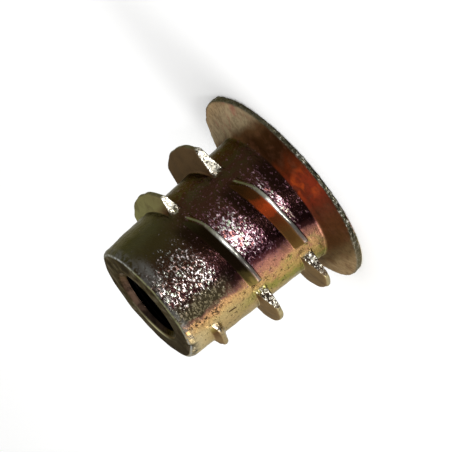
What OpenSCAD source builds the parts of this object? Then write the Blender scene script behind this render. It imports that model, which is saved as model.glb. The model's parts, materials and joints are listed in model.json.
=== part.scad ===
// Flanged screw-in threaded insert, cast in one piece. It stands on its flange:
// the flange's flat face is z = 0, the axis is +Z and the tip is at the top.
// Round four quarters of the body run short fins, which together make one coarse
// right-hand wood thread. A hexagon socket opens in the flange and a machine
// thread runs from the socket's floor to the tip.

/* [Body] */
// Length from the flange face to the tip
length = 13; // [11:0.5:18]
// Diameter of the body where it leaves the flange
body_d = 10.4; // [9.4:0.1:12.5]
// Diameter of the body at the tip
tip_d = 9.3; // [8.4:0.1:11.2]
// Bevel round the tip
tip_bevel = 0.35; // [0.1:0.05:0.6]

/* [Flange] */
// Diameter of the flange
flange_d = 15.4; // [13:0.1:20]
// Thickness of the flange at its rim
rim_t = 0.5; // [0.4:0.05:0.8]
// Height at which the flange's sloping side meets the body
hub_h = 1.1; // [0.9:0.05:1.5]
// Bevel round the flange's flat face
rim_bevel = 0.12; // [0.05:0.01:0.3]

/* [Wood thread] */
// Diameter over the fins
thread_d = 14; // [12:0.1:17]
// Rise of the thread in one turn
pitch = 4; // [3.2:0.1:5]
// Height of the middle of the lowest fin
thread_start = 2.4; // [2.2:0.1:3.2]
// Height above which the fins shrink towards the tip
taper_start = 5.4; // [4:0.1:7]
// Length left bare below the tip
tip_clear = 2; // [1.5:0.1:3]
// Width of a fin at its root, from one flat end to the other
fin_w = 6.5; // [5:0.1:7.8]
// Angle at which the upper ends of the fins at the front and back lean inwards
fin_lean = 22; // [0:1:30]
// Thickness of a fin at its root
fin_root_t = 1; // [0.9:0.05:1.6]
// Thickness of a fin at its rounded crest
fin_crest_t = 0.45; // [0.3:0.05:0.7]

/* [Bore] */
// Diameter of the bore that carries the machine thread
bore_d = 5; // [4.1:0.1:6]
// Diameter of the countersink at the tip
mouth_d = 5.8; // [5.2:0.1:7]

/* [Socket] */
// Size of the hexagon socket across its flats
socket_af = 6; // [5:0.1:7.2]
// Depth of the hexagon socket
socket_depth = 5; // [4.2:0.1:7]
// Width of the bevel round the socket's corners
socket_bevel = 0.25; // [0.1:0.05:0.5]

/* [Hidden] */
$fn = 96;

// Fins in one turn, one for each quarter of the body
fins_per_turn = 4;
// Rise from one fin to the next
fin_rise = pitch / fins_per_turn;
// Number of fins that fit between the flange and the bare tip
fin_count = floor((length - tip_clear - thread_start) / fin_rise) + 1;
// Direction in which the lowest fin points
first_angle = 180;
// Lead angle of the thread at the middle of a fin's height
lead_angle = atan(pitch / (PI * (thread_d + body_d) / 2));
// How far a fin's root is sunk into the body's wall
fin_embed = 0.8;
// Distance that a cutting shape runs past the face that it opens
cut = 1;
// Distance across the socket's corners
socket_corners = socket_af / cos(30);

// Radius of the bare body at height z
function body_r(z) =
    (body_d + (tip_d - body_d) * (z - hub_h) / (length - hub_h)) / 2;

// Radius over the fins at height z, full up to taper_start and then shrinking
// evenly to the body's own radius at the tip
function crest_r(z) =
    min(thread_d, tip_d + (thread_d - tip_d) * (length - z) / (length - taper_start)) / 2;

// Body and flange as one turned shape
module turned_blank() {
    rotate_extrude()
        polygon([
            [0, 0],
            [flange_d / 2 - rim_bevel, 0],
            [flange_d / 2, rim_bevel],
            [flange_d / 2, rim_t],
            [body_d / 2, hub_h],
            [body_r(length - tip_bevel), length - tip_bevel],
            [tip_d / 2 - tip_bevel, length],
            [0, length],
        ]);
}

// Section of a fin, thick at the body and round at the crest
module fin_section(root_r, top_r) {
    inner_r = tip_d / 2 - fin_embed;
    crest_centre = top_r - fin_crest_t / 2;
    flank_slope = (fin_root_t - fin_crest_t) / 2 / (crest_centre - root_r);
    inner_half_t = fin_crest_t / 2 + flank_slope * (crest_centre - inner_r);
    polygon([
        [inner_r, -inner_half_t],
        [crest_centre, -fin_crest_t / 2],
        [crest_centre, fin_crest_t / 2],
        [inner_r, inner_half_t],
    ]);
    translate([crest_centre, 0])
        circle(d = fin_crest_t);
}

// Block that a fin keeps of its ring. Its lower end is square to the ring. Its
// upper end is square too, or leans inwards by the angle lean from a place just
// under the body's surface.
module fin_block(lean) {
    reach = thread_d / 2 + cut;
    lean_x = lean > 0 ? sqrt(pow(tip_d, 2) - pow(fin_w, 2)) / 2 : 0;
    linear_extrude(length)
        polygon([
            [0, -fin_w / 2],
            [reach, -fin_w / 2],
            [reach, fin_w / 2 - (reach - lean_x) * tan(lean)],
            [lean_x, fin_w / 2],
            if (lean > 0) [0, fin_w / 2],
        ]);
}

// One fin, pointing along +X: a ring leaning at the lead angle, cut to its block
module fin(z, lean) {
    intersection() {
        translate([0, 0, z])
            rotate([lead_angle, 0, 0])
                rotate_extrude()
                    fin_section(body_r(z), crest_r(z));
        fin_block(lean);
    }
}

// All the fins, each a quarter turn on from the one below. Every second one has
// a leaning end.
module wood_thread() {
    for (i = [0 : fin_count - 1])
        rotate([0, 0, first_angle + i * 360 / fins_per_turn])
            fin(thread_start + i * fin_rise, i % 2 == 1 ? fin_lean : 0);
}

// Bore for the machine thread, from the socket's floor out through the tip
module bore() {
    translate([0, 0, socket_depth - cut])
        cylinder(d = bore_d, h = length - socket_depth + 2 * cut);
    translate([0, 0, length - (mouth_d - bore_d) / 2])
        cylinder(d1 = bore_d, d2 = mouth_d + 2 * cut, h = (mouth_d - bore_d) / 2 + cut);
}

// Hexagon socket for the driver, bevelled where it opens in the flange
module socket() {
    translate([0, 0, -cut])
        cylinder(d = socket_corners, h = socket_depth + cut, $fn = 6);
    translate([0, 0, -cut])
        cylinder(
            d1 = socket_corners + 2 * socket_bevel + 2 * cut,
            d2 = socket_corners - 2 * socket_bevel,
            h = cut + 2 * socket_bevel
        );
}

module insert() {
    color("darkkhaki")
        difference() {
            union() {
                turned_blank();
                wood_thread();
            }
            bore();
            socket();
        }
}

insert();
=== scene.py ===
# %% [markdown]
# # A cast threaded insert
#
# A threaded insert is screwed into wood by the coarse fins round its body, and then takes a
# machine screw. This one is a single zinc casting with a rainbow-coloured passivated skin, so
# the lesson makes one closed surface and one finish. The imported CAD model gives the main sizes,
# and everything is worked out in millimetres and scaled to metres when the mesh is made.

# %% The fixed frame and the tools
import json
import math

import bpy
import numpy as np
from mathutils import Matrix, Vector


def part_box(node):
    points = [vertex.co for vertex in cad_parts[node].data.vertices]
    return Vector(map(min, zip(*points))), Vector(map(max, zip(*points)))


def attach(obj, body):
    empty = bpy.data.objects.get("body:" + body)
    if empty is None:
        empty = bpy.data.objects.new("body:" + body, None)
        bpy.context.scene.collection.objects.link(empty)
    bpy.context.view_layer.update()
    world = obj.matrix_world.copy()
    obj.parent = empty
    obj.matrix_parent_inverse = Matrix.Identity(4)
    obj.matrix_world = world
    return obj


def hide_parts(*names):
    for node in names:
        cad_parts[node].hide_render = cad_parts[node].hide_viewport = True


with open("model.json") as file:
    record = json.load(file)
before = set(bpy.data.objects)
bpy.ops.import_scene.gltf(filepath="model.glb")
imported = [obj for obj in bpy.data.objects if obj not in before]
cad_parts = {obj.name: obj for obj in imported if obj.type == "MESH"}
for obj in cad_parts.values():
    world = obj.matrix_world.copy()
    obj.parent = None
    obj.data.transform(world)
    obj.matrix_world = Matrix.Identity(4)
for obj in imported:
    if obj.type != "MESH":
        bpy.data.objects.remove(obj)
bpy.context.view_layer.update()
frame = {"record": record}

MM = 0.001
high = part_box("insert")[1]
length = high[2] / MM
flange_r = high[0] / MM
thread_mount = next(m for m in frame["record"]["mounts"] if m["name"] == "machine_thread")
bore_r = thread_mount["dims"]["r_mm"]
print(f"length {length:.2f} mm, flange radius {flange_r:.2f} mm, bore radius {bore_r:.2f} mm")

# %% [markdown]
# ## The sizes of the casting
#
# The box gives the overall size. The other sizes follow the construction: a body that narrows
# a little towards the tip so that it leaves the mould, a thin flange, and fins that grow from
# the tip's own radius to their full height.

# %% The body, in millimetres
hub_z = 1.1             # where the flange's slope meets the body
rim_z = 0.5             # thickness of the flange at its rim
body_r = 5.2            # body at the flange
tip_r = 4.65            # body at the tip
mouth_r = 2.9           # countersink at the tip
socket_af = 6.0         # hexagon socket across its flats
socket_z = 5.0          # floor of the socket


def body_radius(z):
    """Radius of the bare body: a straight line from body_r at hub_z to tip_r at the tip."""
    return body_r + (tip_r - body_r) * (z - hub_z) / (length - hub_z)


print(f"body {2 * body_r:.1f} mm across at the flange and {2 * tip_r:.1f} mm at the tip")

# %% The wood thread, in millimetres and degrees
fin_r = 7.0             # over the fins at full height
fin_pitch = 4.0         # rise of the wood thread in one turn
fin_start_z = 2.4       # height of the lowest fin
fin_start_angle = 180.0
fins_per_turn = 4
fin_step = 360.0 / fins_per_turn
fin_count = 9
taper_z = 5.4           # above this height the fins shrink towards the tip
fin_w = 6.5             # width of a fin at its root
fin_lean = math.radians(22.0)
fin_root_t = 1.0
fin_crest_t = 0.45
fin_shift_y = 0.14      # the ring of the fins lies a little towards +Y of the body


def crest_radius(z):
    """Radius over the fins: fin_r, or less along a straight line that ends at tip_r."""
    taper = tip_r + (fin_r - tip_r) * (length - z) / (length - taper_z)
    return np.minimum(fin_r, taper)


top_fin_z = fin_start_z + (fin_count - 1) * fin_pitch / fins_per_turn
print(f"{fin_count} fins, the highest at {top_fin_z:.1f} mm, {crest_radius(top_fin_z):.2f} mm out")

# %% [markdown]
# ## Blending helpers
#
# A casting has no sharp inner corner. Two shapes given as heights can be joined with a small
# fillet by a smooth maximum, and an outer corner is rounded by a smooth minimum. Both follow
# the plain maximum or minimum until the two heights are within `size` of each other. A smooth
# step and a bell curve say softly where something begins, ends or lies.


# %% Smooth steps, bells, minimum and maximum
def smooth_step(edge0, edge1, value):
    """0 before edge0, 1 after edge1, and the cubic 3t^2 - 2t^3 between them."""
    t = np.clip((value - edge0) / (edge1 - edge0), 0.0, 1.0)
    return t * t * (3.0 - 2.0 * t)


def bell(value, centre, width):
    """1 at the centre and less on both sides: e to the power of minus (distance / width)^2."""
    return np.exp(-(((value - centre) / width) ** 2))


def smooth_min(a, b, size):
    """The lesser of a and b, with a parabola of width size where they cross."""
    h = np.clip(0.5 + 0.5 * (b - a) / size, 0.0, 1.0)
    return b + (a - b) * h - size * h * (1.0 - h)


def smooth_max(a, b, size):
    """The greater of a and b, with a parabola of width size where they cross."""
    return -smooth_min(-a, -b, size)


print(f"two equal heights of 1 join at {smooth_max(1.0, 1.0, 0.4):.2f} with a fillet of size 0.4")


# %% Unevenness as a sum of waves
def ripple(points, wavelength, seed, waves=28):
    """Uneven height of about unit size: the sum of sine waves whose directions and phases are
    random and whose lengths spread round the one asked for."""
    rng = np.random.default_rng(seed)
    way = rng.normal(size=(waves, 3))
    way /= np.linalg.norm(way, axis=1, keepdims=True)
    number = 2.0 * math.pi / (wavelength * rng.uniform(0.7, 1.5, waves))
    phase = rng.uniform(0.0, 2.0 * math.pi, waves)
    total = np.sin(points @ (way * number[:, None]).T + phase).sum(axis=-1)
    return total * math.sqrt(2.0 / waves)


along_x = np.linspace(0.0, 10.0, 50)[:, None] * np.array([1.0, 0.0, 0.0])
print(f"ripple along a line: up to {ripple(along_x, 1.0, 1).max():.2f}")

# %% [markdown]
# ## Columns round the axis
#
# The skin is a grid: columns run up the body at fixed angles and rows wind round it. The flat
# ends of the fins need closer columns than the rest, so the columns are spread by a density
# that is higher where the ends lie, and placed at equal shares of its running total.

# %% Angles of the columns
columns = 320
fin_end_angle = 34.0    # degrees from a fin's middle to where its ends meet the body
end_spread = 6.0        # degrees over which the columns lie closer there
end_density = 2.2       # how much denser they get


def column_angles():
    """Angles in degrees from -180: equal steps of the running total of a density that is 1,
    and about 3 on either side of each fin, where its ends meet the body."""
    fine = np.linspace(-180.0, 180.0, 7201)
    from_fin = np.mod(fine + fin_step / 2, fin_step) - fin_step / 2
    density = 1.0 + end_density * bell(np.abs(from_fin), fin_end_angle, end_spread)
    total = np.concatenate([[0.0], np.cumsum((density[1:] + density[:-1]) / 2)])
    return np.interp(np.arange(columns) / columns * total[-1], total, fine)


angles = column_angles()
turn = np.radians(angles)
gaps = np.diff(angles)
print(f"{columns} columns, {gaps.min():.2f} to {gaps.max():.2f} degrees apart")

# %% [markdown]
# ## Fins
#
# A fin stands out from the body like a short blade. Its section has a round crest and straight
# flanks, the one towards the flange steeper. The mould's four slides pull away square to the
# axis, so a fin's ends are flat and parallel to the pull, but every second fin runs out in a
# soft ramp at its upper end. Seen along one column, an end is a cap on how far out the fin may
# reach.


# %% The section of a fin
def fin_section(offset, crest, root, steep):
    """Radius of a fin at a distance along the axis from its middle: a half circle at the crest,
    then a straight flank that reaches the radius root at half the root thickness. On the
    flange's side the distance counts steep times, past the crest's own half."""
    half_crest = fin_crest_t / 2
    past = np.maximum(-offset - half_crest, 0.0) * (steep - 1.0)
    away = np.where(offset < 0.0, -offset + past, offset)
    round_part = np.sqrt(np.maximum(half_crest**2 - away**2, 0.0))
    slope = (crest - half_crest - root) / (fin_root_t / 2 - half_crest)
    flank = -slope * (away - half_crest)
    return crest - half_crest + np.where(away < half_crest, round_part, flank)


def fin_cap(delta, ramped):
    """Radius at which a fin's end cuts the column that lies delta radians from the fin's
    middle. A flat end is the line y = -w/2 or w/2, and a ramp leans in from y = w/2."""
    half = fin_w / 2
    lean_x = math.sqrt(tip_r**2 - half**2)
    lean = math.tan(fin_lean)
    flat = half / np.maximum(np.abs(np.sin(delta)), 1e-3)
    ramp_r = (half + lean_x * lean) / np.maximum(np.sin(delta) + np.cos(delta) * lean, 1e-3)
    return np.where(ramped, ramp_r, flat)


ends = fin_cap(np.radians([30.0, 30.0]), np.array([False, True]))
print(f"a fin's reach 30 degrees from its middle: flat {ends[0]:.2f} mm, ramped {ends[1]:.2f} mm")

# %% The outer skin with its fins
ramp_round, blunt_round, flat_round = 0.9, 0.34, 0.12   # rounding of the three kinds of fin end
ramp_fillet, fillet = 0.3, 0.16                         # where a fin meets the body
crest_unevenness = 0.03
flank_steepness, ramp_steepness = 1.35, 2.2             # of the flange's side, and more on a ramp


def wood_skin(total_angle, offset, z):
    """Radius of the outer skin. total_angle runs on from turn to turn in degrees, and offset
    is the height above the thread's middle line at that angle."""
    number = np.round((total_angle - fin_start_angle) / fin_step)
    delta = np.radians(total_angle - fin_start_angle - number * fin_step)
    every_second = np.mod(number, 2) == 1
    ramped = every_second & (delta > 0.0)
    end_round = np.where(ramped, ramp_round, np.where(every_second, blunt_round, flat_round))
    root = body_radius(z)
    crest = crest_radius(z - offset) + fin_shift_y * np.sin(np.radians(total_angle))
    along_crest = np.stack([total_angle / 12.0, 0.0 * z, 0.0 * z], axis=-1)
    worn = crest_unevenness * ripple(along_crest, 1.0, 5)
    steep = flank_steepness + ramp_steepness * ramped * smooth_step(10.0, 32.0, np.degrees(delta))
    fin = fin_section(offset, crest + worn, root, steep)
    fin = smooth_min(fin, fin_cap(delta, ramped), end_round)
    present = (number >= 0) & (number < fin_count)
    return np.where(present, smooth_max(root, fin, np.where(ramped, ramp_fillet, fillet)), root)


middle_of_first = wood_skin(np.array([fin_start_angle]), np.array([0.0]), np.array([fin_start_z]))
print(f"the lowest fin reaches {middle_of_first[0]:.2f} mm from the axis")

# %% The machine thread in the bore
screw_pitch = 1.0
screw_depth = 0.54      # of the pitch


def screw_skin(total_angle, offset, z):
    """Radius of the bore: rounded ridges at bore_r and grooves one thread depth further out,
    fading at both ends. It is the same at every angle, because offset carries the helix."""
    from_mouth = length - mouth_r + bore_r - z
    fade = smooth_step(0.0, 0.6, z - socket_z) * smooth_step(0.0, 0.35, from_mouth)
    wave = 0.5 + 0.5 * np.cos(2.0 * math.pi * offset / screw_pitch)
    return bore_r + screw_depth * screw_pitch * fade * smooth_step(0.12, 0.88, wave)


print(f"the grooves reach {screw_skin(0.0, 0.0, 9.0):.2f} mm from the axis")

# %% [markdown]
# ## Winding a skin
#
# Rows that follow the helix give clean crests. After one turn a row meets the row that lies one
# pitch higher. At the bottom and the top the skin has to end in a level ring: rows that would
# pass it are pressed onto it, and faces that lose their size there are left out.

# %% Points and faces
points = []          # coordinates of every point, as a list of blocks
faces = []           # lists of point numbers
point_total = 0


def add_points(block):
    """Keeps a block of points and returns their numbers."""
    global point_total
    points.append(block)
    numbers = np.arange(point_total, point_total + len(block))
    point_total += len(block)
    return numbers


def polar(radius, z):
    """Points at the columns' angles, at a radius and a height that may vary with the column."""
    radius, z = np.broadcast_arrays(radius, z)
    angle = np.broadcast_to(turn, radius.shape)
    return np.stack([radius * np.cos(angle), radius * np.sin(angle), z], axis=-1)


def add_quads(lower, upper, flip=False):
    """Joins two rows, each given as the numbers of its points and of their next neighbours.
    A corner that repeats its neighbour is dropped: three left make a triangle, fewer nothing."""
    (a, b), (d, c) = lower, upper
    corners = np.stack([a, b, c, d], axis=-1).reshape(-1, 4)
    if flip:
        corners = corners[:, ::-1]
    keep = np.ones_like(corners, dtype=bool)
    for k in range(4):
        keep[:, k] = corners[:, k] != corners[:, k - 1]
    whole = keep.all(axis=1)
    faces.extend(corners[whole].tolist())
    part = ~whole & (keep.sum(axis=1) == 3)
    faces.extend([quad[mask].tolist() for quad, mask in zip(corners[part], keep[part])])


print(f"a level ring has {len(polar(body_r, 0.0 * angles))} points")

# %% Wind rows round the axis between two level rings
snap = 0.02             # rows closer than this to a level ring are pressed onto it


def wind(skin_shape, pitch, start_z, offsets, z_low, z_high, flip=False):
    """Winds rows between two level rings. Row k of turn n lies at the height
    start_z + pitch * (n + angle / 360) + offsets[k]. Returns the two rings' point numbers."""
    per_turn = len(offsets)
    first = math.floor((z_low - start_z) / pitch) - 1
    last = math.ceil((z_high - start_z) / pitch) + 2
    turns = np.repeat(np.arange(first, last), per_turn)[:, None]
    offset = np.tile(offsets, last - first)[:, None] + 0.0 * angles
    total = 360.0 * turns + angles
    z = start_z + pitch * total / 360.0 + offset
    below = z < z_low + snap
    above = z > z_high - snap
    inside = ~(below | above)
    level = 0.0 * angles
    bottom = add_points(polar(skin_shape(level, pitch / 2, z_low + level), z_low))
    top = add_points(polar(skin_shape(level, pitch / 2, z_high + level), z_high))
    numbers = np.where(below, bottom, top)
    block = polar(skin_shape(total, offset, z), z)
    numbers[inside] = add_points(block[inside])
    here, there = numbers[:-per_turn], np.roll(numbers, -1, axis=1)[:-per_turn]
    there[:, -1] = numbers[per_turn:, 0]
    add_quads((here[:-1], there[:-1]), (here[1:], there[1:]), flip)
    return bottom, top


def fin_rows():
    """Distances of the rows from a fin's middle: close over the crest, even down the flanks,
    and wider over the bare body."""
    half = np.concatenate([
        [0.04, 0.12, 0.18, 0.215],
        np.linspace(0.25, 0.55, 8),
        [0.61, 0.69, 0.8, 0.93],
        np.linspace(1.09, fin_pitch / 2 - 0.09, 6),
    ])
    return np.concatenate([-half[::-1], half])


# %% The outer skin and the bore
skin_low = 1.34
skin_high = 12.5
thread_line = fin_start_z - fin_pitch * fin_start_angle / 360.0
outer_low, outer_high = wind(
    wood_skin, fin_pitch, thread_line, fin_rows(), skin_low, skin_high
)
mouth_bevel = mouth_r - bore_r
screw_rows = (np.arange(9) + 0.5) / 9 * screw_pitch - screw_pitch / 2
bore_low, bore_high = wind(
    screw_skin, screw_pitch, 0.0, screw_rows, socket_z, length - mouth_bevel, flip=True
)
print(f"wound skins: {point_total} points")

# %% [markdown]
# ## Rings for the tip, the flange and the socket
#
# Everything else is turned about the axis or, in the socket, six-sided. Each is a list of rings,
# from one wound skin to the other, with close rings wherever an edge is rounded.


# %% Helpers for rings
def hexagon(across_flats):
    """Radius of a hexagon with a corner at angle 0, its corners rounded a little."""
    from_flat = np.radians(np.mod(angles, 60.0) - 30.0)
    flat = across_flats / 2 / np.cos(from_flat)
    return smooth_min(flat, across_flats / 2 * 1.14, 0.06)


def add_rings(start, rings, end):
    """Joins level rings (radius, height) to each other and to the rings of points at the ends."""
    chain = [start]
    for radius, z in rings:
        chain.append(add_points(polar(radius, z + 0.0 * angles)))
    chain.append(end)
    for lower, upper in zip(chain[:-1], chain[1:]):
        add_quads((lower, np.roll(lower, -1)), (upper, np.roll(upper, -1)))


def arc(centre_r, centre_z, radius, start, stop, steps):
    """Rings along a circular arc in the profile, from one angle to another in degrees."""
    way = np.radians(np.linspace(start, stop, steps))
    return [(centre_r + radius * math.cos(a), centre_z + radius * math.sin(a)) for a in way]


hex_r = hexagon(socket_af)
print(f"the socket is {2 * hex_r.max():.2f} mm across its rounded corners")

# %% The tip and its countersunk mouth
tip_round = 0.42        # radius of the edge round the tip
mouth_round = 0.08      # radius of the edge round the mouth
face_out_r = tip_r - 0.48
tip_rings = (
    [(body_radius(skin_high + rise), skin_high + rise) for rise in (0.06, 0.12)]
    + arc(tip_r - tip_round, length - tip_round, tip_round, 8, 82, 13)
    + [(r, length) for r in np.linspace(face_out_r, mouth_r + 0.12, 9)]
    + arc(mouth_r + mouth_round, length - mouth_round, mouth_round, 90, 150, 3)
    + [(mouth_r - t * mouth_bevel, length - t * mouth_bevel) for t in (0.3, 0.55, 0.8, 0.95)]
)
add_rings(outer_high, tip_rings, bore_high)
print(f"tip: {len(tip_rings)} rings")

# %% The socket, the flange and the foot of the body
rim_round = 0.1         # radius of the rim's lower edge
rim_top_round = 0.08
slope = (hub_z - rim_z) / (flange_r - body_r)
socket_rings = (
    [(bore_r + (hex_r - bore_r) * t, socket_z) for t in (0.15, 0.5, 0.85)]
    + [(hex_r, z) for z in (4.95, 4.8, 3.9, 2.9, 1.9, 1.0, 0.45, 0.3)]
    + [(hexagon(socket_af + 0.25), 0.14), (hexagon(socket_af + 0.5), 0.02)]
)
face_rings = [
    (hexagon(socket_af + 0.65) * (1 - t) + (flange_r - rim_round) * t, 0.0)
    for t in (0.0, 0.12, 0.3, 0.5, 0.7, 0.88, 1.0)
]
rim_rings = (
    arc(flange_r - rim_round, rim_round, rim_round, -60, 0, 3)
    + [(flange_r, z) for z in np.linspace(rim_round + 0.06, rim_z - 0.1, 5)]
    + arc(flange_r - rim_top_round, rim_z - 0.07, rim_top_round, 10, 75, 3)
)
slope_rings = [
    (r, rim_z + (flange_r - r) * slope) for r in np.linspace(flange_r - 0.18, body_r + 0.28, 15)
]
hub_rings = [
    (body_r + 0.19, hub_z - 0.01), (body_r + 0.11, hub_z + 0.02),
    (body_r + 0.04, hub_z + 0.08), (body_r, hub_z + 0.16),
]
add_rings(bore_low, socket_rings + face_rings + rim_rings + slope_rings + hub_rings, outer_low)
skin = np.concatenate(points)
print(f"closed skin: {len(skin)} points, {len(faces)} faces")

# %% [markdown]
# ## The mesh, and where each point lies
#
# The surface is one mesh. The finish has to know which points lie on a crest, on the tip's edge
# or in the bore, and that is simplest to work out here, where the shape is known in numbers.
# Each answer is a mask: a number from 0 to 1 for every point.

# %% Make the mesh
mesh = bpy.data.meshes.new("insert_skin")
mesh.from_pydata((skin * MM).tolist(), [], faces)
mesh.update()
insert = bpy.data.objects.new("cast_insert", mesh)
bpy.context.collection.objects.link(insert)


def vertex_normals():
    """The mesh's own normals, one row for each point."""
    out = np.empty(len(skin) * 3)
    mesh.vertex_normals.foreach_get("vector", out)
    return out.reshape(-1, 3)


triangles = sum(len(f) - 2 for f in faces)
print(f"insert: {triangles} triangles")

# %% Where each point lies
normal = vertex_normals()
radius = np.hypot(skin[:, 0], skin[:, 1])
height = skin[:, 2]
heading = np.degrees(np.arctan2(skin[:, 1], skin[:, 0]))
facing_y = np.abs(np.sin(np.radians(heading)))
off_surface = radius - body_radius(height)
above_hub = smooth_step(1.3, 1.6, height)
on_flange = height < hub_z


def towards_heading(degrees):
    """1 for points in the given direction round the axis, -1 for those opposite: a cosine."""
    return np.cos(np.radians(heading - degrees))


def at_tip(start, stop):
    """0 lower than start millimetres below the tip and 1 higher than stop below it."""
    return smooth_step(length - start, length - stop, height)


print(f"{on_flange.sum()} points as low as the flange, {(off_surface > 0.5).sum()} outside the body")


# %% The nearest fin of each point
def nearest_fin():
    """For each point, the angle past the middle of the fin whose crest line passes nearest to
    it, and its height above that line."""
    delta_out = np.full(len(skin), 180.0)
    above_out = np.full(len(skin), 99.0)
    for number in range(fin_count):
        delta = np.mod(heading - fin_start_angle - number * fin_step + 180.0, 360.0) - 180.0
        middle_z = fin_start_z + number * fin_pitch / fins_per_turn
        above = height - (middle_z + fin_pitch * delta / 360.0)
        nearer = (np.abs(delta) < 52.0) & (np.abs(above) < np.abs(above_out))
        delta_out = np.where(nearer, delta, delta_out)
        above_out = np.where(nearer, above, above_out)
    return delta_out, above_out


past_middle, above_line = nearest_fin()
print(f"{(np.abs(above_line) < 0.2).sum()} points within 0.2 mm of a crest line")

# %% Worn crests and the worn edge of the tip, both with a painted highlight
# The crests are worn metal, and on the front and back rows they also carry a painted highlight.
line_width = 1.0 - 0.45 * smooth_step(12.0, 26.0, past_middle)
crest_wear_and_highlight = smooth_step(0.19, 0.06, np.abs(above_line) / line_width) * above_hub
crest_wear_and_highlight = crest_wear_and_highlight * smooth_step(0.04, 0.12, off_surface)
crest_wear_and_highlight = crest_wear_and_highlight * (0.3 + 0.7 * smooth_step(0.5, 0.75, facing_y))
near_side = smooth_step(1.0, -1.0, skin[:, 1])
# The line along the tip's edge is rubbed bright, and a painted highlight lies on it as well,
# strongest on the -Y side, where the light falls.
edge_line_r = 4.44      # of the line rubbed bright along the tip's edge
tip_edge = bell(radius, edge_line_r, 0.048) * at_tip(0.2, 0.12) * (0.25 + 0.75 * near_side)
tip_band = at_tip(0.85, 0.3) * smooth_step(3.6, 4.2, radius)
chip_place = np.array([-3.85, -2.2, length - 0.15])
from_chip = np.linalg.norm(skin - chip_place, axis=1)
patch_heading, patch_z = -64.0, 12.25
worn_patch = bell(heading, patch_heading, 13.0) * bell(height, patch_z, 0.33)
worn_patch = np.maximum(worn_patch, bell(from_chip, 0.0, 0.5))
ragged = smooth_step(flange_r - 0.09, flange_r - 0.03, radius) * smooth_step(0.0, 0.12, height)
print(f"worn points: {(crest_wear_and_highlight > 0.5).sum()}, ragged points: {(ragged > 0.5).sum()}")

# %% The bore, its mouth and the face of the tip
in_bore = (height > socket_z - 0.01) & (height < length - 0.3)
inner = smooth_step(mouth_r + 0.03, mouth_r - 0.1, radius)
inner = np.maximum(inner, smooth_step(3.4, 3.2, radius) * in_bore)
# A painted highlight on one side of the mouth's bevel, round heading 128 degrees.
mouth_edge = bell(radius, mouth_r + 0.05, 0.06) * at_tip(0.2, 0.1) * bell(heading, 128.0, 24.0)
tip_face = smooth_step(4.38, 4.30, radius) * at_tip(0.14, 0.04) * (1.0 - inner)
print(f"inner points: {(inner > 0.5).sum()}, points on the tip's face: {(tip_face > 0.5).sum()}")

# %% [markdown]
# ## An uneven casting
#
# Poured metal is never quite true. Long shallow waves and a finer orange peel move every point
# along its normal. The flange's rim was broken from its gate and is ragged, and thinner on that
# side, and the flange sits a little to one side, because the mould's halves didn't meet exactly.
# The flat face that the insert stands on, the socket and the bore stay true.

# %% Move the points
wave_height, peel_height = 0.012, 0.006
flange_shift_x = 0.17
rim_thinning = 0.4
gate_heading = -70.0    # where the rim was broken from its gate
nick_depth, fine_nick_depth = 0.05, 0.035
nick_rise = 0.03        # the ragged metal stands out a little
chip_depth = 0.16
socket_edge_r = socket_af / 2 + 0.6
outside = smooth_step(socket_edge_r, socket_edge_r + 0.3, radius) * smooth_step(0.05, 0.3, height)
steepness = 1.0 - np.abs(normal[:, 2])
peel = peel_height * steepness * ripple(skin, 0.5, 2)
swell = outside * (wave_height * ripple(skin, 1.7, 1) + peel)
bite = ragged * (0.15 + 0.85 * smooth_step(0.1, 0.8, towards_heading(gate_heading)))
fine_nicks = fine_nick_depth * ripple(skin, 0.24, 4)
nicks = bite * (nick_depth * ripple(skin, 0.5, 3) + fine_nicks + nick_rise)
chip = chip_depth * bell(from_chip, 0.0, 0.32)
shape = skin + normal * (swell + nicks - chip)[:, None]
shape[:, 0] += flange_shift_x * smooth_step(body_r, flange_r, radius) * on_flange
thinned = smooth_step(0.35, 0.85, towards_heading(gate_heading - 8.0))
thinned = thinned * smooth_step(body_r + 0.5, flange_r, radius) * on_flange
shape[:, 2] = np.maximum(shape[:, 2] * (1.0 - rim_thinning * thinned), 0.0)
mesh.vertices.foreach_set("co", (shape * MM).ravel())
mesh.update()
mesh.polygons.foreach_set("use_smooth", np.ones(len(mesh.polygons), dtype=bool))
print(f"points moved by up to {np.abs(shape - skin).max():.2f} mm")

# %% Painted fin shadow, dense painted glints, blade ends and faces that look up
# This mask marks the painted shadow that each fin casts on the body on its tip's side, and that the
# flange casts low on the body; there the skin is painted dark and gets no painted glints.
calm = smooth_step(0.0, 0.3, above_line) * smooth_step(1.75, 1.15, above_line)
calm = calm * smooth_step(46.0, fin_end_angle, np.abs(past_middle))
calm = np.maximum(calm, smooth_step(2.5, 2.1, height))
# This mask marks where the painted glints lie densest: just below each crest, on the flange's side.
busy = smooth_step(-2.3, -1.2, above_line) * smooth_step(0.0, -0.2, above_line)
busy = busy * smooth_step(23.0, 6.0, np.abs(past_middle - 3.0)) * smooth_step(1.9, 2.3, height)
busy = busy * (0.35 + 0.65 * smooth_step(3.4, 4.2, height))
normal = vertex_normals()
blade_end = smooth_step(0.0, 0.14, off_surface) * above_hub
blade_end = blade_end * smooth_step(0.6, 0.85, np.abs(normal[:, 1]))
blade_end = blade_end * smooth_step(0.3, 0.4, 1.0 - facing_y)
below_tip = smooth_step(length - 0.35, length - 0.55, height)
facing_up = smooth_step(0.35, 0.75, normal[:, 2]) * outside * below_tip
print(f"calm points: {(calm > 0.5).sum()}, points at blade ends: {(blade_end > 0.5).sum()}")

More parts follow.
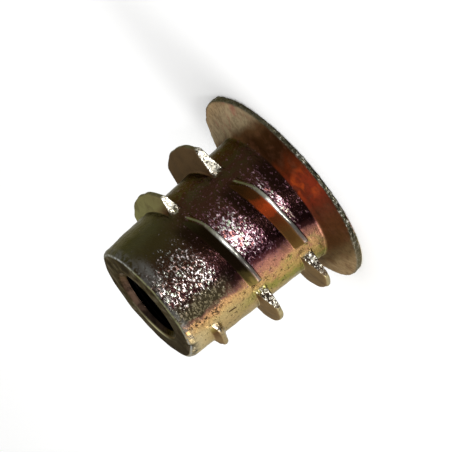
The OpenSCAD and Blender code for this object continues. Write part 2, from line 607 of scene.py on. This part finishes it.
# %% Store the masks on the mesh
masks = {
    "wear": crest_wear_and_highlight, "tip_edge": tip_edge, "tip_band": tip_band, "worn_patch": worn_patch,
    "mouth_edge": mouth_edge, "busy": busy, "tip_face": tip_face, "ragged": ragged,
    "inner": inner, "calm": calm, "blade_end": blade_end,
    "upward": np.maximum(facing_up, tip_face),
}
for name, values in masks.items():
    layer = mesh.attributes.new(name, "FLOAT", "POINT")
    layer.data.foreach_set("value", values.astype(np.float32))
print("masks:", ", ".join(masks))

# %% [markdown]
# ## The passivated finish
#
# Yellow passivation is a thin clear film whose thickness drifts over the part, so its colour
# drifts too: olive, brown, plum, pink and gold. A position across the part, bent by soft noise,
# is read through a colour ramp, and the ramps paint reflection and glow into the colour as well.
# The fins' shadow is painted too. The film is worn to grey metal on the crests and the tip's
# edge, with a painted highlight on them. Under it the cast skin is finely pebbled, and the glints
# of the pebbles are painted as bright specks. The whole finish is made of nodes, and a few
# helpers keep each line of it short.

# %% A material and its nodes
finish = bpy.data.materials.new("passivated_zinc")
finish.use_nodes = True
tree = finish.node_tree
tree.nodes.clear()


def node(kind, settings=None, **sockets):
    """Adds a node. Settings are its properties, and each socket gets a number, a colour or
    another node's output. A socket is named by its label, or by i and its number."""
    made = tree.nodes.new(kind)
    for name, value in (settings or {}).items():
        setattr(made, name, value)
    for name, value in sockets.items():
        key = int(name[1:]) if name[1:].isdigit() else name.replace("_", " ")
        feed(made.inputs[key], value)
    return made


def feed(socket, value):
    """Links a node's output to a socket, or sets the socket to a number or a colour."""
    if isinstance(value, bpy.types.NodeSocket):
        tree.links.new(value, socket)
    else:
        socket.default_value = value


print(f"material {finish.name}")


# %% Sums, products and ranges
def maths(operation, a, b=0.0):
    """One Math node."""
    return node("ShaderNodeMath", {"operation": operation}, i0=a, i1=b).outputs[0]


def plus(a, b):
    """a + b."""
    return maths("ADD", a, b)


def minus(a, b):
    """a - b."""
    return maths("SUBTRACT", a, b)


def times(a, b):
    """a * b, which also means a and b when both are masks."""
    return maths("MULTIPLY", a, b)


def greater(a, b):
    """The greater of a and b, which also means a or b when both are masks."""
    return maths("MAXIMUM", a, b)


def apart(a, b):
    """How far a is from b, on either side."""
    return maths("ABSOLUTE", minus(a, b))


def remap(value, from_low, from_high, to_low=0.0, to_high=1.0):
    """A clamped Map Range node."""
    made = node("ShaderNodeMapRange", {"clamp": True}, Value=value)
    limits = {"From Min": from_low, "From Max": from_high, "To Min": to_low, "To Max": to_high}
    for name, number in limits.items():
        made.inputs[name].default_value = number
    return made.outputs[0]


# %% Colours and masks
def mix(factor, a, b):
    """A Mix node for colours: a where the factor is 0 and b where it is 1."""
    made = node("ShaderNodeMix", {"data_type": "RGBA"}, Factor=factor)
    for socket, value in ((made.inputs[6], a), (made.inputs[7], b)):
        feed(socket, value if isinstance(value, bpy.types.NodeSocket) else (*value, 1.0))
    return made.outputs[2]


def ramp(value, stops):
    """A colour ramp through stops of (position, colour)."""
    made = node("ShaderNodeValToRGB", None, Fac=value)
    made.color_ramp.interpolation = "EASE"
    elements = made.color_ramp.elements
    while len(elements) < len(stops):
        elements.new(1.0)
    for element, (position, colour) in zip(elements, stops):
        element.position = position
        element.color = (*colour, 1.0)
    return made.outputs[0]


def mask(name):
    """One of the masks stored on the mesh."""
    return node("ShaderNodeAttribute", {"attribute_name": name}).outputs["Fac"]


upward = mask("upward")
shadowed_skin = mask("calm")
inside_skin = mask("inner")
open_skin = minus(1.0, greater(upward, inside_skin))
plain_skin = minus(1.0, greater(greater(shadowed_skin, upward), inside_skin))
print(f"{len(tree.nodes)} nodes for the masks")

# %% Places on the part
place = node("ShaderNodeTexCoord").outputs["Object"]
split = node("ShaderNodeSeparateXYZ", None, Vector=place).outputs
across, along_axis = split["X"], split["Z"]
off_middle = maths("ABSOLUTE", across)


def by_height(start_mm, end_mm, to_low=0.0, to_high=1.0):
    """Goes from to_low to to_high between two heights."""
    return remap(along_axis, start_mm * MM, end_mm * MM, to_low, to_high)


def by_across(start_mm, end_mm, to_low=0.0, to_high=1.0):
    """Goes from to_low to to_high between two places along X."""
    return remap(across, start_mm * MM, end_mm * MM, to_low, to_high)


def by_side(start_mm, end_mm, to_low=0.0, to_high=1.0):
    """Goes from to_low to to_high between two distances from the plane x = 0."""
    return remap(off_middle, start_mm * MM, end_mm * MM, to_low, to_high)


def noise(size_mm, detail=2.0, roughness=0.5, distortion=0.0, where=None):
    """A Noise node on the part's own coordinates, with features of about size_mm."""
    return node(
        "ShaderNodeTexNoise", None, Vector=where or place, Scale=1.0 / (size_mm * MM),
        Detail=detail, Roughness=roughness, Distortion=distortion,
    ).outputs[0]


toward_tip = by_height(7.6, 9.6)
print(f"{len(tree.nodes)} nodes with the places")

# %% [markdown]
# ## The film round the sides
#
# The colours follow each other across the part, from olive at +X through brown and plum to gold
# at -X, and the same again round the back. They are film colour and painted reflection together:
# the near-black plum in the middle paints a reflection of dark surroundings, and the bright gold
# at -X a reflection of bright ones. The bands widen towards the flange. Two noises bend them: a
# slow one for the drift of the film, and a finer one that mottles it.

# %% How thick the film is
drift = minus(noise(2.6, 2.0, 0.55), 0.5)
mottle = minus(noise(0.55, 3.0, 0.6), 0.5)


def share_across(width_mm, bend):
    """0.5 at x = 0, less towards +X and more towards -X by 1 over the width, plus the bend."""
    return plus(maths("DIVIDE", across, -width_mm * MM), plus(0.5, bend))


film_width = 10.8
spread = by_height(0.0, length, 0.82, 1.18)
film_and_reflection = plus(times(maths("DIVIDE", across, -film_width * MM), spread), 0.5)
film_and_reflection = plus(film_and_reflection, plus(times(drift, 0.16), times(mottle, 0.07)))
# The near-black plum in the middle and the bright gold at -X are painted reflection as well as film
# colour.
side_colour = ramp(film_and_reflection, [
    (0.00, (0.075, 0.070, 0.042)), (0.07, (0.037, 0.034, 0.014)), (0.18, (0.027, 0.021, 0.007)),
    (0.36, (0.022, 0.009, 0.005)), (0.52, (0.012, 0.004, 0.004)), (0.655, (0.012, 0.003, 0.004)),
    (0.70, (0.06, 0.017, 0.018)), (0.735, (0.27, 0.11, 0.09)), (0.775, (0.45, 0.25, 0.11)),
    (0.84, (0.43, 0.27, 0.10)), (0.895, (0.26, 0.235, 0.062)), (0.94, (0.45, 0.32, 0.15)),
    (1.00, (0.48, 0.40, 0.21)),
])
print(f"{len(tree.nodes)} nodes with the film")

# %% Brown, and the dark border of the gold
warm_brown = (0.030, 0.012, 0.007)
border_brown = (0.034, 0.027, 0.014)
brown = times(by_height(9.6, 7.4), remap(film_and_reflection, 0.44, 0.30))
brown = times(brown, remap(mottle, 0.10, -0.06, 0.25, 0.9))
side_colour = mix(brown, side_colour, warm_brown)
border = times(times(remap(film_and_reflection, 0.60, 0.67), remap(film_and_reflection, 0.765, 0.73)), toward_tip)
side_colour = mix(border, side_colour, border_brown)
golden = remap(film_and_reflection, 0.72, 0.78)

# %% Green, tan and pink in the gold
green_film, tan_film, pink_film = (0.27, 0.24, 0.065), (0.41, 0.295, 0.14), (0.30, 0.115, 0.090)
green = times(remap(noise(1.1, 3.0, 0.6, 0.6), 0.54, 0.65), by_height(9.0, 6.5, 0.2, 1.0))
side_colour = mix(times(golden, green), side_colour, green_film)
tan = times(remap(film_and_reflection, 0.80, 0.88), by_height(7.0, 9.0, 0.0, 0.85))
side_colour = mix(tan, side_colour, tan_film)
pink = times(remap(noise(0.9, 3.0, 0.65, 0.4), 0.535, 0.64), by_height(9.0, 3.0, 0.35, 0.9))
pink = greater(pink, by_height(2.6, 1.4, 0.0, 0.65))
pink = times(golden, times(pink, remap(film_and_reflection, 0.88, 0.81)))
pink_border = times(remap(apart(film_and_reflection, 0.768), 0.045, 0.015, 0.0, 0.75), by_height(8.4, 6.8))
side_colour = mix(greater(pink, pink_border), side_colour, pink_film)

# %% The pale end, and the painted shadow of the fins and the flange beside them
pale_film = (0.56, 0.46, 0.27)
painted_fin_shadow = (0.003, 0.0015, 0.001)
pale_end = times(remap(film_and_reflection, 0.80, 0.93), by_height(11.2, 12.4))
side_colour = mix(times(pale_end, 0.85), side_colour, pale_film)
# Painted shadow: within that mask, in the middle of the front and back, the skin is darkened to
# nearly black.
shaded = times(times(shadowed_skin, by_side(3.4, 2.4)), 0.7)
side_colour = mix(shaded, side_colour, painted_fin_shadow)
print(f"{len(tree.nodes)} nodes with the sides")

# %% [markdown]
# ## The film on the flange and the fins
#
# The flange's sloping side and the fins' upper flanks, the faces that look up, get colours of
# their own. On the flange they run from tan through brown to a red glow and back, and the red glow
# is painted reflection of the coloured metal round it. The fins have their own colours: brown on
# the two sideways rows, with one green flank near the tip, and on the front and back rows a
# painted red glow low down and nearly black higher up.

# %% The flange
top_film_and_glow = share_across(15.2, times(drift, 0.10))
# From 0.42 to 0.56 this ramp paints a red glow, a reflection of the coloured metal round it.
top_colour = ramp(top_film_and_glow, [
    (0.00, (0.40, 0.28, 0.15)), (0.08, (0.36, 0.27, 0.16)), (0.13, (0.29, 0.225, 0.13)),
    (0.19, (0.075, 0.036, 0.014)), (0.24, (0.033, 0.013, 0.004)), (0.34, (0.026, 0.009, 0.003)),
    (0.42, (0.10, 0.018, 0.005)), (0.49, (0.19, 0.026, 0.010)), (0.56, (0.17, 0.024, 0.010)),
    (0.64, (0.085, 0.022, 0.010)), (0.73, (0.07, 0.025, 0.009)), (0.80, (0.065, 0.028, 0.010)),
    (0.87, (0.11, 0.070, 0.032)), (0.94, (0.27, 0.185, 0.095)), (1.00, (0.30, 0.21, 0.11)),
])
cloud_brown, speck_brown = (0.10, 0.040, 0.020), (0.030, 0.013, 0.006)
lobe_pink, red_glow_colour = (0.30, 0.125, 0.085), (0.36, 0.055, 0.012)
clouds = remap(noise(0.8, 3.0, 0.65, 0.5), 0.48, 0.66)
top_colour = mix(times(clouds, 0.4), top_colour, cloud_brown)
specks = remap(noise(0.3, 3.0, 0.6), 0.46, 0.62, 0.0, 0.3)
top_colour = mix(specks, top_colour, speck_brown)
lobe = times(remap(top_film_and_glow, 0.16, 0.10), remap(noise(1.3, 3.0, 0.6, 0.4), 0.50, 0.62))
top_colour = mix(times(lobe, 0.7), top_colour, lobe_pink)
# A painted red glow in the middle of the flange's slope, reflected from the metal round it.
painted_red_glow = times(remap(top_film_and_glow, 0.43, 0.47), remap(top_film_and_glow, 0.58, 0.53))
painted_red_glow = times(painted_red_glow, remap(noise(1.2, 2.0, 0.5, 0.3), 0.50, 0.60))
top_colour = mix(painted_red_glow, top_colour, red_glow_colour)
print(f"{len(tree.nodes)} nodes with the flange")

# %% The flanks of the sideways fins
plus_x_brown, minus_x_brown = (0.090, 0.055, 0.027), (0.155, 0.100, 0.047)
tip_green, blotch_brown = (0.27, 0.27, 0.105), (0.060, 0.036, 0.020)
on_fins = by_height(1.3, 1.9)
flank = mix(by_across(-1.0, 1.0), minus_x_brown, plus_x_brown)
flank = mix(times(toward_tip, by_across(3.2, 4.8)), flank, tip_green)
flank = mix(remap(noise(0.9, 3.0, 0.6, 0.4), 0.46, 0.66, 0.0, 0.45), flank, blotch_brown)
top_colour = mix(times(on_fins, by_side(4.0, 4.8)), top_colour, flank)

# %% The flanks of the front and back fins
flank_film_and_glow = share_across(8.0, times(mottle, 0.12))
# From 0.41 to 0.525 the low flanks get a painted red glow, reflected from the metal round them.
low_flank = ramp(flank_film_and_glow, [
    (0.05, (0.022, 0.014, 0.005)), (0.20, (0.026, 0.011, 0.003)), (0.33, (0.046, 0.016, 0.004)),
    (0.41, (0.20, 0.032, 0.007)), (0.46, (0.31, 0.044, 0.009)), (0.525, (0.23, 0.036, 0.009)),
    (0.57, (0.095, 0.024, 0.007)), (0.80, (0.090, 0.045, 0.013)), (0.90, (0.13, 0.075, 0.022)),
])
high_flank = ramp(flank_film_and_glow, [
    (0.10, (0.020, 0.017, 0.006)), (0.30, (0.007, 0.004, 0.0015)), (0.70, (0.007, 0.004, 0.002)),
    (0.82, (0.060, 0.045, 0.014)), (0.90, (0.20, 0.15, 0.045)),
])
middle_flank = mix(by_height(5.4, 6.0), low_flank, high_flank)
top_colour = mix(times(by_side(4.2, 3.8), on_fins), top_colour, middle_flank)
colour = mix(upward, side_colour, top_colour)
print(f"{len(tree.nodes)} nodes with the fins")

# %% [markdown]
# ## Painted glints on the pebbles
#
# Glints of the light on the pebbled skin are painted into its colour as bright specks, so there
# are three sparkling patches between the fins. A fine noise makes the grains, drawn out a little
# round the body. A coarser noise gathers them, and a band down the middle of the front and back
# keeps them where the light's highlight falls: what passes a threshold gets a painted glint, and
# a little below it a darker painted halo.

# %% Where the painted glints are
# A band down the middle of the front and the back holds the painted glints.
glint_band = times(remap(apart(across, 0.2 * MM), 3.0 * MM, 1.1 * MM), plain_skin)
drawn_out = node("ShaderNodeMapping", None, Vector=place, Scale=(0.62, 0.62, 1.0)).outputs[0]
pebbles = noise(0.135, 2.0, 0.6, 0.45, drawn_out)
clusters = times(minus(noise(0.7, 2.0, 0.6), by_height(7.6, 9.6, 0.47, 0.53)), 0.21)
gate = plus(pebbles, plus(clusters, times(minus(glint_band, 1.0), 0.20)))
# More painted glints where that mask is set.
gate = plus(gate, times(mask("busy"), 0.075))

# %% The colours of the painted glints
# Bright specks painted into the colour as glints of the light.
glint_colour = ramp(noise(0.3, 1.0, 0.5), [
    (0.36, (0.42, 0.50, 0.36)), (0.47, (0.58, 0.54, 0.56)), (0.56, (0.60, 0.46, 0.49)),
    (0.66, (0.52, 0.21, 0.16)),
])
tip_glint, greenish_glint = (0.58, 0.56, 0.50), (0.42, 0.42, 0.24)
glint_colour = mix(times(toward_tip, 0.35), glint_colour, tip_glint)
greenish = times(by_across(-0.1, -0.9), by_height(5.2, 4.4))
glint_colour = mix(times(greenish, 0.7), glint_colour, greenish_glint)
# Darker painted halos round the glints: plum lower down, grey-brown towards the tip.
plum_between, tip_between = (0.105, 0.046, 0.062), (0.034, 0.028, 0.021)
border_glint = (0.20, 0.165, 0.095)
between = mix(toward_tip, plum_between, tip_between)
colour = mix(times(remap(gate, 0.41, 0.52, 0.0, 0.8), open_skin), colour, between)
colour = mix(times(remap(gate, 0.545, 0.65), open_skin), colour, glint_colour)
# Faint painted glints along the dark border of the gold.
faint_glints = times(border, remap(pebbles, 0.50, 0.60, 0.0, 0.7))
colour = mix(times(faint_glints, plain_skin), colour, border_glint)
print(f"{len(tree.nodes)} nodes with the pebbles")

# %% [markdown]
# ## Pits, scratches and wear
#
# The golden side is smoother, with small dark pits and two scratches. The skin is rubbed through
# wherever the insert touches something: on the crests of the fins, on the tip's edge and round
# the ragged rim, and on the crests and the tip's edge a painted highlight lies over the worn metal.
# Each place has a mask on the mesh, and noise breaks up its border. The fins' ends get painted
# glints, the mouth a painted highlight, and the bore is painted dark as shade.

# %% Pits in the gold
pit_brown = (0.030, 0.018, 0.010)
at_border = times(remap(apart(film_and_reflection, 0.755), 0.075, 0.03), by_height(8.8, 10.2))
pit_noise = noise(0.26, 3.0, 0.6, 0.5)
many_pits = times(remap(pit_noise, 0.53, 0.45), at_border)
pits = times(greater(times(remap(pit_noise, 0.43, 0.36), 0.7), many_pits), golden)
colour = mix(times(pits, plain_skin), colour, pit_brown)


# %% Two scratches
def vector_maths(operation, **sockets):
    """One Vector Math node."""
    return node("ShaderNodeVectorMath", {"operation": operation}, **sockets).outputs


def scratch(start_mm, end_mm, width_mm):
    """1 on a thin straight mark between two places, from a point's distance to the line."""
    start, end = Vector(start_mm) * MM, Vector(end_mm) * MM
    way = (end - start).normalized()
    offset = vector_maths("SUBTRACT", i0=place, i1=(start + end) / 2)[0]
    along_it = vector_maths("DOT_PRODUCT", i0=offset, i1=way)[1]
    on_line = vector_maths("SCALE", i0=way, Scale=along_it)[0]
    off_line = vector_maths("DISTANCE", i0=offset, i1=on_line)[1]
    half = (end - start).length / 2
    within = remap(maths("ABSOLUTE", along_it), half, half * 0.6)
    return times(within, remap(off_line, width_mm * MM, width_mm * MM * 0.4))


scratch_brown = (0.060, 0.030, 0.014)
long_scratch = scratch((-3.60, -3.19, 9.66), (-3.73, -3.09, 8.82), 0.10)
short_scratch = scratch((-3.05, -3.72, 9.35), (-3.22, -3.57, 9.05), 0.07)
colour = mix(greater(long_scratch, short_scratch), colour, scratch_brown)
print(f"{len(tree.nodes)} nodes with the pits and scratches")

# %% Grey metal at the tip and on the crests
band_metal = (0.085, 0.082, 0.074)
grey_band = times(mask("tip_band"), remap(noise(0.5, 3.0, 0.65), 0.42, 0.56))
grey_patch = times(mask("worn_patch"), remap(noise(0.32, 3.0, 0.65, 0.6), 0.34, 0.44))
colour = mix(greater(times(grey_band, 0.8), grey_patch), colour, band_metal)
wear_noise = minus(noise(0.45, 3.0, 0.6), 0.5)
# In the middle, near x = 0, the crest colour is a bright painted highlight over the worn metal.
worn_crest_and_highlight = ramp(share_across(8.0, times(wear_noise, 0.25)), [
    (0.08, (0.115, 0.120, 0.058)), (0.24, (0.100, 0.102, 0.058)), (0.36, (0.20, 0.20, 0.16)),
    (0.44, (0.55, 0.55, 0.50)), (0.51, (0.50, 0.50, 0.46)), (0.575, (0.15, 0.15, 0.13)),
    (0.72, (0.075, 0.070, 0.062)), (0.84, (0.10, 0.088, 0.075)), (0.92, (0.22, 0.18, 0.15)),
])
colour = mix(mask("wear"), colour, worn_crest_and_highlight)

# %% The flat ends of the sideways fins
# The white specks on the fin ends are painted glints.
end_dark, end_brown, end_glint_white = (0.020, 0.014, 0.010), (0.105, 0.072, 0.042), (0.72, 0.68, 0.56)
end_noise = noise(0.2, 2.0, 0.6, 0.6)
minus_x_end = times(remap(end_noise, 0.50, 0.61), by_across(-6.0, -5.1, 0.04, 0.6))
plus_x_end = times(remap(end_noise, 0.38, 0.54), by_across(4.0, 4.5))
end_base = mix(by_across(-5.2, -6.2), end_dark, end_brown)
end_colour = mix(greater(minus_x_end, plus_x_end), end_base, end_glint_white)
colour = mix(mask("blade_end"), colour, end_colour)
print(f"{len(tree.nodes)} nodes with the wear")

# %% The tip's face and edge
face_shadow, mouth_highlight_tan = (0.018, 0.012, 0.008), (0.40, 0.37, 0.20)
edge_olive, edge_grey = (0.27, 0.27, 0.13), (0.44, 0.45, 0.44)
face_colour = ramp(noise(0.9, 4.0, 0.65, 0.4), [
    (0.40, (0.015, 0.010, 0.005)), (0.48, (0.036, 0.025, 0.011)), (0.55, (0.046, 0.038, 0.018)),
    (0.63, (0.090, 0.070, 0.046)),
])
face_colour = mix(by_across(0.5, -3.0, 0.0, 0.55), face_colour, face_shadow)
colour = mix(mask("tip_face"), colour, face_colour)
# Worn metal with a painted highlight along the tip's edge.
edge_colour = mix(by_side(2.2, 3.4), edge_olive, edge_grey)
edge_amount = times(mask("tip_edge"), remap(noise(0.3, 3.0, 0.65), 0.36, 0.52, 0.15, 1.0))
colour = mix(edge_amount, colour, edge_colour)
# The mouth's bevel gets its painted highlight.
colour = mix(mask("mouth_edge"), colour, mouth_highlight_tan)

# %% The ragged rim, and the bore painted dark as shade
rim_olive, rim_tan = (0.065, 0.057, 0.033), (0.17, 0.14, 0.09)
painted_bore_shade, bore_brown = (0.002, 0.0015, 0.0015), (0.115, 0.068, 0.046)
rim_colour = ramp(noise(0.26, 3.0, 0.65), [
    (0.36, (0.018, 0.017, 0.011)), (0.53, (0.055, 0.051, 0.033)), (0.70, (0.36, 0.35, 0.31)),
])
rim_colour = mix(by_across(2.0, 5.0, 0.0, 0.8), rim_colour, rim_olive)
rim_colour = mix(by_across(-4.5, -6.5, 0.0, 0.6), rim_colour, rim_tan)
colour = mix(mask("ragged"), colour, rim_colour)
# The bore is painted nearly black as shade, and brown near the middle of its mouth as painted light.
lit_mouth = times(by_height(12.5, 12.7), by_across(-0.6, 0.6, 0.15, 1.0))
lit_mouth = times(lit_mouth, remap(noise(0.5, 3.0, 0.6), 0.35, 0.55, 0.3, 1.0))
bore_colour = mix(lit_mouth, painted_bore_shade, bore_brown)
colour = mix(inside_skin, colour, bore_colour)
print(f"{len(tree.nodes)} nodes with the tip, the rim and the bore")

# %% [markdown]
# ## Relief and shader
#
# The same noise that places the painted glints raises the pebbles, strongest in the glint band and
# faint on worn or upward faces. The skin is bare metal with a fairly sharp shine, except on the
# upward faces and the tip's face, which are duller and mostly show their own colour.

# %% The shader
relief_height = 0.06
relief_share = minus(1.0, times(greater(upward, mask("wear")), 0.85))
relief = node(
    "ShaderNodeBump", None, Strength=times(relief_share, remap(glint_band, 0.0, 1.0, 0.5, 1.0)),
    Distance=relief_height * MM, Height=minus(pebbles, times(pits, 0.5)),
)
shader = node(
    "ShaderNodeBsdfPrincipled", None, Base_Color=colour,
    Metallic=remap(upward, 0.0, 1.0, 1.0, 0.3), Roughness=remap(upward, 0.0, 1.0, 0.28, 0.45),
    Normal=relief.outputs[0],
    Specular_IOR_Level=0.0, Specular_Tint=(0.55, 0.53, 0.45, 1.0),
)
node("ShaderNodeOutputMaterial", None, Surface=shader.outputs[0])
mesh.materials.append(finish)
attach(insert, "root")
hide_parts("insert")
print(f"finish: {len(tree.nodes)} nodes")

# %% [markdown]
# ## Floor, light and camera
#
# The insert stands on its flange on a pale floor. The camera looks at its side from a little
# above and is rolled, so that the axis runs slantwise across the picture. A long lens keeps
# the two ends nearly the same size.

# %% The floor
floor_half = 2.0
corners = [(-floor_half, -floor_half, 0), (floor_half, -floor_half, 0),
           (floor_half, floor_half, 0), (-floor_half, floor_half, 0)]
floor_mesh = bpy.data.meshes.new("floor")
floor_mesh.from_pydata(corners, [], [(0, 1, 2, 3)])
floor = bpy.data.objects.new("floor", floor_mesh)
bpy.context.collection.objects.link(floor)
paper = bpy.data.materials.new("pale_floor")
paper.use_nodes = True
paper_shader = paper.node_tree.nodes["Principled BSDF"]
paper_shader.inputs["Base Color"].default_value = (0.97, 0.97, 0.965, 1.0)
paper_shader.inputs["Roughness"].default_value = 0.8
floor_mesh.materials.append(paper)
print(f"floor {2 * floor_half:.0f} m wide")


# %% The camera
def towards(azimuth, elevation):
    """Unit vector at an angle round +Z from +X and an angle above the floor, in degrees."""
    a, e = math.radians(azimuth), math.radians(elevation)
    return Vector((math.cos(a) * math.cos(e), math.sin(a) * math.cos(e), math.sin(e)))


view_azimuth, view_elevation, view_roll = -86.0, 13.92, 139.55
view_distance = 162.85
shift_right, shift_up = 0.577, 1.362    # of the camera, in its own directions
back = towards(view_azimuth, view_elevation)
along = towards(view_azimuth, view_elevation + 90.0)
side = towards(view_azimuth + 90.0, 0.0)
roll = math.radians(view_roll)
right = along * math.cos(roll) - side * math.sin(roll)
up = -(along * math.sin(roll) + side * math.cos(roll))
centre = Vector((0.0, 0.0, length * MM / 2))
offset = back * view_distance + right * shift_right + up * shift_up
camera_data = bpy.data.cameras.new("camera")
camera_data.lens = 189.5
camera_data.sensor_width = 36.0
camera_data.clip_start = 0.01
camera = bpy.data.objects.new("camera", camera_data)
bpy.context.collection.objects.link(camera)
axes = Matrix((right, up, back)).transposed().to_4x4()
camera.matrix_world = Matrix.Translation(centre + offset * MM) @ axes
bpy.context.scene.camera = camera
print(f"camera {view_distance:.0f} mm away, with a {camera_data.lens:.0f} mm lens")


# %% The lights
def soft_light(name, azimuth, elevation, distance, size, watts):
    """A round area light that faces the middle of the part."""
    data = bpy.data.lights.new(name, "AREA")
    data.shape = "DISK"
    data.size = size
    data.energy = watts
    lamp = bpy.data.objects.new(name, data)
    bpy.context.collection.objects.link(lamp)
    lamp.location = centre + towards(azimuth, elevation) * distance
    lamp.rotation_euler = (centre - lamp.location).to_track_quat("-Z", "Y").to_euler()


soft_light("key", -101.0, 6.0, 0.30, 0.03, 0.7)
soft_light("side_fill", 190.0, 25.0, 0.35, 0.25, 0.6)
world = bpy.data.worlds.new("studio")
bpy.context.scene.world = world
world.use_nodes = True
background = world.node_tree.nodes["Background"]
background.inputs["Color"].default_value = (1.0, 1.0, 1.0, 1.0)
background.inputs["Strength"].default_value = 0.9
bpy.context.scene.view_settings.view_transform = "Standard"
print(f"{len(bpy.data.lights)} lights and a white world")
